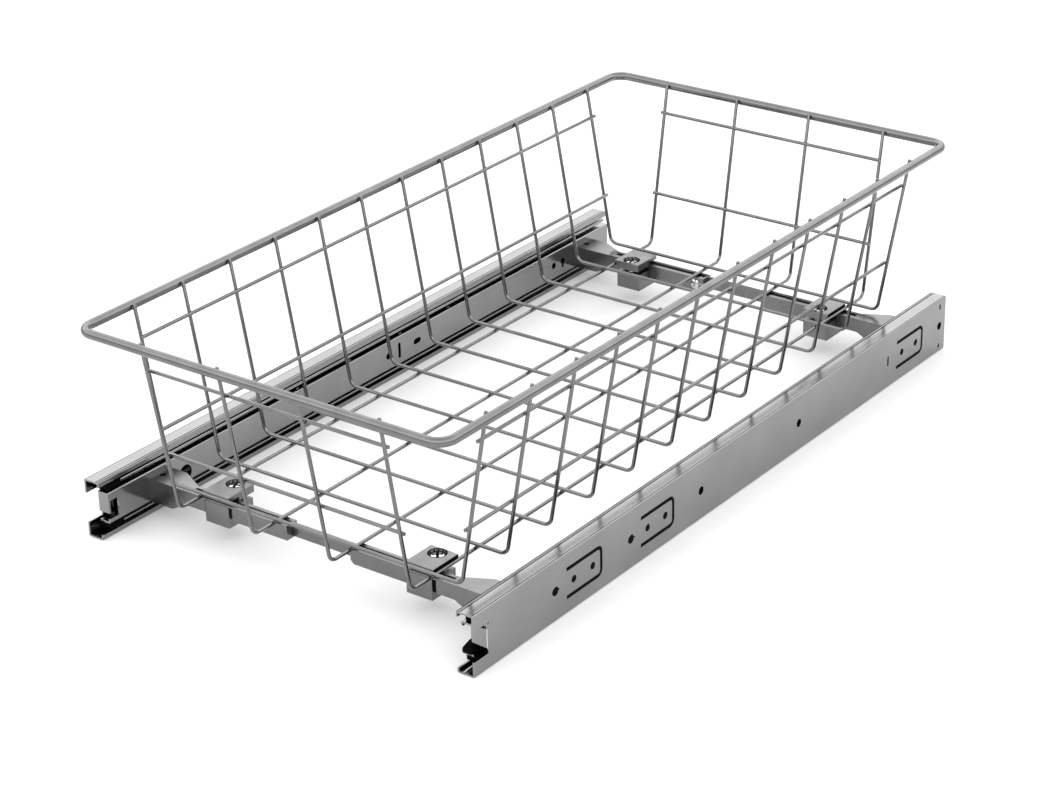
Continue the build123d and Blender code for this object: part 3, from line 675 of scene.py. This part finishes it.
def makeScrews():
    clampMesh = recessedScrew(screw["clampHead"], screw["clampShank"], screw["clampLength"])
    lockMesh = recessedScrew(screw["lockHead"], screw["lockShank"], screw["lockLength"])
    for place, turn in clampTurns.items():
        nodeName = "clamp_screw_" + place
        low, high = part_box(nodeName)
        top = high.z + (screw["clampRise"] - screw["clampHead"][2]) * mm
        centre = Vector(((low.x + high.x) / 2, (low.y + high.y) / 2, top))
        setScrew(nodeName, clampMesh, centre, Matrix.Rotation(math.radians(turn), 4, "Z"))
    for bar, sign in (("front", 1), ("rear", -1)):
        nodeName = bar + "_bar_lock_screw"
        low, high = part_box(nodeName)
        head = screw["lockHead"][2] * mm
        y = high.y - head if sign > 0 else low.y + head
        centre = Vector(((low.x + high.x) / 2, y, (low.z + high.z) / 2))
        twist = Matrix.Rotation(math.radians(screw["lockTurn"]), 4, "Z")
        setScrew(nodeName, lockMesh, centre, Matrix.Rotation(-sign * math.pi / 2, 4, "X") @ twist)


def setScrew(nodeName, mesh, centre, turn):
    bm = bmesh.new()
    bm.from_mesh(mesh)
    bmesh.ops.transform(bm, matrix=Matrix.Translation(centre) @ turn, verts=bm.verts)
    piece = finishPiece(nodeName + "_recessed", bm, bodyOf[nodeName], slotOf[nodeName], "screw")
    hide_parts(nodeName)


makeScrews()
print("screws made")


# ---- painted shade and a painted highlight in the slides

slideTrim = {
    "face": 124.5, "front": -228.7, "middle": 16.5, "sides": 32,
    "tongueEnds": (102.8, 166.2, 422.6), "tongueLength": 29.0, "tongueHeight": 15.3,
    "tongueBend": 3.0, "slitWidth": 3.0, "slitDepth": (0.18, 0.03), "slitSides": 16, "slitSteps": 6,
    "discDepth": (0.3, -0.01),
    "tongueHoles": (7.2, 23.0), "tongueHoleRadius": 1.95,
    "pearPlaces": (64.6, 128.6), "pearRadius": 2.4,
    "roundPlaces": (192.0, 288.0, 443.3), "roundRadius": 2.7, "roundDepth": (1.13, 1.04),
    "flangeTop": 33.0, "flangeLines": ((114.95, 0.35), (116.7, 0.5), (123.75, 0.35)),
    "lineProud": 0.006, "lineSink": 0.1, "lineInset": 0.2, "length": 450.0,
    "bendPlace": 10.2, "bendWidth": 0.75, "bendHeights": (11.6, 21.6), "bendProud": 0.02,
    "bendSink": 0.2,
}


def addBlock(bm, low, high):
    low, high = Vector(low), Vector(high)
    made = bmesh.ops.create_cube(bm, size=1.0)
    size = Matrix.Diagonal((*((high - low) * mm), 1.0))
    place = Matrix.Translation((low + high) / 2 * mm)
    bmesh.ops.transform(bm, matrix=place @ size, verts=made["verts"])


def addDisc(bm, place, radius, depth, sides, turn=Matrix()):
    made = bmesh.ops.create_cone(bm, cap_ends=True, segments=sides, radius1=radius * mm,
                                 radius2=radius * mm, depth=depth * mm)
    bmesh.ops.transform(bm, matrix=Matrix.Translation(place * mm) @ turn, verts=made["verts"])


def moveNew(bm, others, matrix):
    # Moves the vertices that were made after the others.
    made = [v for v in bm.verts if v not in others]
    bmesh.ops.transform(bm, matrix=matrix, verts=made)


def addSideDisc(bm, sign, distance, radius, depths):
    # A disc against the outer web, given its depths in from the outside face.
    deep, shallow = depths
    place = Vector((sign * (slideTrim["face"] - (deep + shallow) / 2),
                    slideTrim["front"] + distance, slideTrim["middle"]))
    turn = Matrix.Rotation(math.pi / 2, 4, "Y")
    addDisc(bm, place, radius, deep - shallow, slideTrim["sides"], turn)


def addSlitShade(bm, sign, end):
    # Painted shade: a black band over the slit round a tongue, a bar bent like the slit and pressed
    # flat.
    deep, shallow = slideTrim["slitDepth"]
    half = slideTrim["tongueHeight"] / 2
    far = slideTrim["front"] + end
    near = far - slideTrim["tongueLength"]
    z = slideTrim["middle"]
    corners = [(0, near, z + half), (0, far, z + half), (0, far, z - half), (0, near, z - half)]
    others = set(bm.verts)
    wireThrough(bm, [Vector(c) for c in corners], slideTrim["slitWidth"] / 2,
                slideTrim["tongueBend"], slideTrim["slitSides"], slideTrim["slitSteps"])
    press = Matrix.Diagonal(((deep + shallow) / slideTrim["slitWidth"], 1, 1, 1))
    place = Matrix.Translation((sign * (slideTrim["face"] - (deep - shallow) / 2) * mm, 0, 0))
    moveNew(bm, others, place @ press)


def makeWebHoleShades():
    # Painted shade: black discs and bands over the outer webs' slits and holes, standing in for the
    # dark seen through them.
    for side, sign in sideSigns.items():
        bm = bmesh.new()
        for end in slideTrim["tongueEnds"]:
            addSlitShade(bm, sign, end)
        ends = [edge for edge in bm.edges if len(edge.link_faces) == 1]
        bmesh.ops.holes_fill(bm, edges=ends, sides=0)
        for end in slideTrim["tongueEnds"]:
            for inset in slideTrim["tongueHoles"]:
                addSideDisc(bm, sign, end - inset, slideTrim["tongueHoleRadius"],
                            slideTrim["discDepth"])
        for place in slideTrim["pearPlaces"]:
            addSideDisc(bm, sign, place, slideTrim["pearRadius"], slideTrim["discDepth"])
        for place in slideTrim["roundPlaces"]:
            addSideDisc(bm, sign, place, slideTrim["roundRadius"], slideTrim["roundDepth"])
        bmesh.ops.recalc_face_normals(bm, faces=bm.faces)
        finishPiece("web_fills_" + side, bm, "cabinet_channels", "black_plastic", "trim")


def makeFlangeGrooveShades():
    # Painted shade: thin black strips along the top of each outer channel, where its grooves run.
    top = slideTrim["flangeTop"]
    front = slideTrim["front"] + slideTrim["lineInset"]
    rear = front + slideTrim["length"] - 2 * slideTrim["lineInset"]
    for side, sign in sideSigns.items():
        bm = bmesh.new()
        for x, width in slideTrim["flangeLines"]:
            low, high = sorted((sign * (x - width / 2), sign * (x + width / 2)))
            addBlock(bm, (low, front, top - slideTrim["lineSink"]),
                     (high, rear, top + slideTrim["lineProud"]))
        finishPiece("flange_lines_" + side, bm, "cabinet_channels", "black_plastic", "trim")


def makeTabBendHighlight():
    # Painted highlight: a strip of bright screw steel laid where the right-hand front tab is bent,
    # standing in for the glint along the fold.
    bm = bmesh.new()
    low, high = slideTrim["bendHeights"]
    y = slideTrim["front"] + slideTrim["bendPlace"]
    half = slideTrim["bendWidth"] / 2
    x = slideTrim["face"] + slideTrim["bendProud"]
    addBlock(bm, (x - slideTrim["bendSink"], y - half, low), (x, y + half, high))
    finishPiece("front_tab_bend", bm, "cabinet_channels", "screw_steel", "trim")


makeWebHoleShades()
makeFlangeGrooveShades()
makeTabBendHighlight()
print("slide trim made")


# ---- small trim on the bars and clamps, with painted shade in their grooves, gaps and recesses

barTrim = {
    "sides": 40, "clampTop": 26.5,
    "washerRadii": (4.06, 5.1), "washerRise": (0.01, 0.32), "washerWall": 4.46, "washerDepth": 2.1,
    "washerBrim": 0.1, "washerStep": 0.02,
    "recessDrop": 0.28, "recessThick": 0.4, "recessOver": 1.05,
    "plugRadius": 2.3, "plugHeight": (20.6, 22.2), "plugs": ((109.0, -187.7), (109.0, 193.2)),
    "faces": {"front": -195.0, "rear": 184.9}, "barTop": 22.45, "barBottom": 14.2,
    "ends": {"left": 19.8, "right": 23.8}, "channelEnd": 83.9,
    "seam": (1.85, 3.0, 5.6), "seamDrop": (0.08, 0.0), "seamFoot": 1,
    "windowX": (73.55, 75.95), "windowDeep": (0.5, 1.8), "windowFoot": 0.05, "windowTop": 21.3,
    "lipHeights": (24.65, 26.3), "lipSink": 0.2, "lipProud": 0.02, "lipInset": 0.3,
}


def spinOutline(bm, outline, place, sides):
    # Turns a closed outline of (radius, height) points about an upright axis at place.
    others = set(bm.verts)
    verts = [bm.verts.new((r * mm, 0.0, z * mm)) for r, z in outline]
    lines = [bm.edges.new(pair) for pair in zip(verts, verts[1:] + verts[:1])]
    bmesh.ops.spin(bm, geom=verts + lines, cent=(0, 0, 0), axis=(0, 0, 1), angle=2 * math.pi,
                   steps=sides, use_merge=True)
    moveNew(bm, others, Matrix.Translation(place * mm))


def clampScrewPlaces():
    places = {}
    for nodeName in sorted(nodes):
        if nodeName.startswith("clamp_screw"):
            low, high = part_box(nodeName)
            places[nodeName] = ((low.x + high.x) / 2 / mm, (low.y + high.y) / 2 / mm)
    return places


def makeCounterboreCups():
    # Black cups lining each clamp screw's counterbore, so that the pocket round the head is dark.
    bm = bmesh.new()
    inner, outer = barTrim["washerRadii"]
    low, high = barTrim["washerRise"]
    wall, depth = barTrim["washerWall"], barTrim["washerDepth"]
    under = low - barTrim["washerBrim"]
    cup = wall - barTrim["washerStep"]
    outline = [(inner, -depth), (wall, -depth), (wall, under), (outer, under), (outer, low),
               (cup, low), (cup, high - depth), (inner, high - depth)]
    for x, y in clampScrewPlaces().values():
        spinOutline(bm, outline, Vector((x, y, barTrim["clampTop"])), barTrim["sides"])
    bmesh.ops.remove_doubles(bm, verts=bm.verts, dist=meshing["merge"] / 2 * mm)
    bmesh.ops.recalc_face_normals(bm, faces=bm.faces)
    finishPiece("clamp_cup_washers", bm, "basket", "black_plastic", "trim")


def makeRecessShades():
    # Painted shade: a black cross set in the floor of each clamp screw's recess.
    bm = bmesh.new()
    radius = screw["clampHead"][0]
    arm = radius * screw["recessArm"] * barTrim["recessOver"]
    width = radius * screw["recessWidth"] * barTrim["recessOver"]
    for nodeName, (x, y) in clampScrewPlaces().items():
        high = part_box(nodeName)[1].z / mm + screw["clampRise"] - barTrim["recessDrop"]
        for turn in (0, 90):
            others = set(bm.verts)
            addBlock(bm, (-arm, -width, high - barTrim["recessThick"]), (arm, width, high))
            angle = math.radians(turn + clampTurns[nodeName.replace("clamp_screw_", "")])
            place = Matrix.Translation(Vector((x, y, 0)) * mm)
            moveNew(bm, others, place @ Matrix.Rotation(angle, 4, "Z"))
    finishPiece("clamp_screw_recesses", bm, "basket", "black_plastic", "trim")


def makeBracketHoleDiscs():
    # Black discs set in the bracket holes, so that the holes are dark.
    bm = bmesh.new()
    low, high = barTrim["plugHeight"]
    for x, y in barTrim["plugs"]:
        for sign in (-1, 1):
            addDisc(bm, Vector((sign * x, y, (low + high) / 2)), barTrim["plugRadius"], high - low,
                    barTrim["sides"])
    finishPiece("bracket_plugs", bm, "basket", "black_plastic", "trim")


def makeBarReturnsAndShades():
    # Each arm's inner return in steel, and painted shade: black blocks in the groove beside the
    # strip and in the gap beside a front clamp.
    returns, shades = bmesh.new(), bmesh.new()
    start, seam, stop = barTrim["seam"]
    shallow, deep = barTrim["windowDeep"]
    high, low = [barTrim["barTop"] - drop for drop in barTrim["seamDrop"]]
    foot = barTrim["barBottom"] + barTrim["seamFoot"]
    for bar, face in barTrim["faces"].items():
        for side, sign in sideSigns.items():
            near, far = sorted((sign * barTrim["ends"][side], sign * barTrim["channelEnd"]))
            a, b = sorted(sign * x for x in barTrim["windowX"])
            for one, other in ((near, a), (b, far)):
                addBlock(returns, (one, face + start, foot), (other, face + seam, high))
            addBlock(shades, (near, face + seam, foot), (far, face + stop, low))
            addBlock(shades, (a, face + start, foot), (b, face + seam, low))
            if bar == "front":
                addBlock(shades, (a, face + shallow, barTrim["barBottom"] + barTrim["windowFoot"]),
                         (b, face + deep, barTrim["windowTop"]))
    finishPiece("bar_arm_returns", returns, "basket", "bar_steel", "trim")
    finishPiece("bar_arm_seams", shades, "basket", "black_plastic", "trim")


def makeLipShades():
    # Painted shade: a black strip on each clamp plate's outer side, under its edge.
    bm = bmesh.new()
    low, high = barTrim["lipHeights"]
    for part in ("front", "rear"):
        for side, sign in sideSigns.items():
            a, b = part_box(f"clamp_plate_{part}_{side}")
            x = (a.x if sign < 0 else b.x) / mm
            near, far = sorted((x - sign * barTrim["lipSink"], x + sign * barTrim["lipProud"]))
            addBlock(bm, (near, a.y / mm + barTrim["lipInset"], low),
                     (far, b.y / mm - barTrim["lipInset"], high))
    finishPiece("clamp_lip_pads", bm, "basket", "black_plastic", "trim")


makeCounterboreCups()
makeRecessShades()
makeBracketHoleDiscs()
makeBarReturnsAndShades()
makeLipShades()
print("bar and clamp trim made")


# ---- studio

studio = {
    "floorSize": 14.0, "floorTone": 0.78, "skyTop": 2.5,
    "sky": ((0.0, 0.35), (0.12, 0.7), (0.3, 2.0), (0.5, 2.5), (0.75, 1.9), (1.0, 1.2)),
}


def makeFloor():
    bm = bmesh.new()
    bmesh.ops.create_grid(bm, x_segments=2, y_segments=2, size=studio["floorSize"] / 2)
    mesh = bpy.data.meshes.new("studioFloor")
    bm.to_mesh(mesh)
    bm.free()
    material = bpy.data.materials.new("paleFloor")
    material.use_nodes = True
    shader = material.node_tree.nodes["Principled BSDF"]
    tone = studio["floorTone"]
    shader.inputs["Base Color"].default_value = (tone, tone, tone, 1.0)
    shader.inputs["Roughness"].default_value = 1.0
    shader.inputs["Specular IOR Level"].default_value = 0.0
    mesh.materials.append(material)
    floor = bpy.data.objects.new("studioFloor", mesh)
    bpy.context.scene.collection.objects.link(floor)


def makeSky():
    # A tent of soft light: dark at the horizon, brightest a third of the way up.
    world = bpy.data.worlds.new("softTent")
    world.use_nodes = True
    tree = world.node_tree
    upward = addNode(tree, "ShaderNodeSeparateXYZ",
                     {0: addNode(tree, "ShaderNodeTexCoord").outputs["Generated"]})
    ramp = addNode(tree, "ShaderNodeValToRGB", {"Fac": upward.outputs["Z"]})
    stops = ramp.color_ramp.elements
    while len(stops) < len(studio["sky"]):
        stops.new(0.5)
    for stop, (height, tone) in zip(stops, studio["sky"]):
        stop.position = height
        stop.color = [tone / studio["skyTop"]] * 3 + [1.0]
    tree.links.new(ramp.outputs["Color"], tree.nodes["Background"].inputs["Color"])
    tree.nodes["Background"].inputs["Strength"].default_value = studio["skyTop"]
    bpy.context.scene.world = world


makeFloor()
makeSky()
print("studio set")
